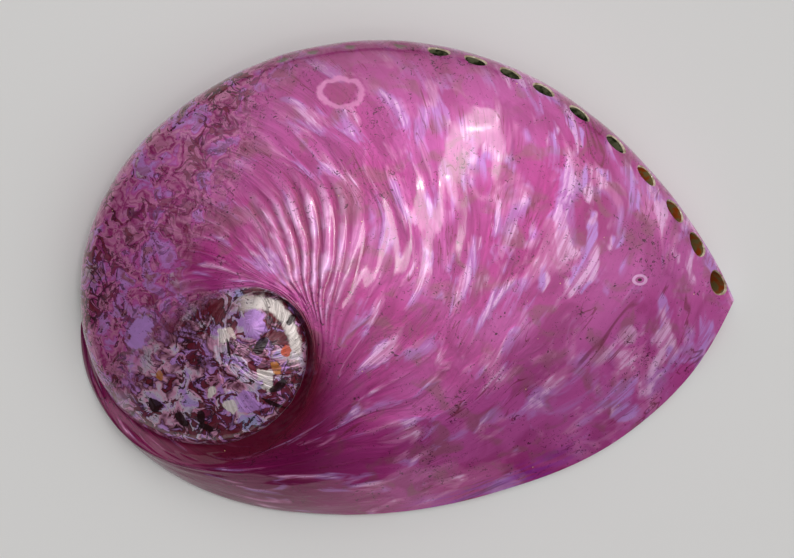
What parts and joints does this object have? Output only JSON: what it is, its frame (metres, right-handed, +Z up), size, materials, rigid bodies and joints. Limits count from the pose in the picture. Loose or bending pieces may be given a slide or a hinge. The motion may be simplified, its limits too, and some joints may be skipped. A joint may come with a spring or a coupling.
{
  "type": "abalone shell",
  "caption": "Polished and dyed abalone shell lying on its rim: a flat open spiral with a row of open holes and a hollow underside.",
  "frame": {"origin": "middle of the bounding box in X and Y, on the plane that the rim rests on", "axes": "+X towards the pointed front end, +Y towards the row of holes, +Z up out of the back of the shell"},
  "size_m": [0.149, 0.1066, 0.0289],
  "materials": {
    "dyed_nacre": "clear lacquer over dyed mother of pearl"
  },
  "bodies": {
    "root": {"shell": "dyed_nacre"}
  },
  "joints": []
}
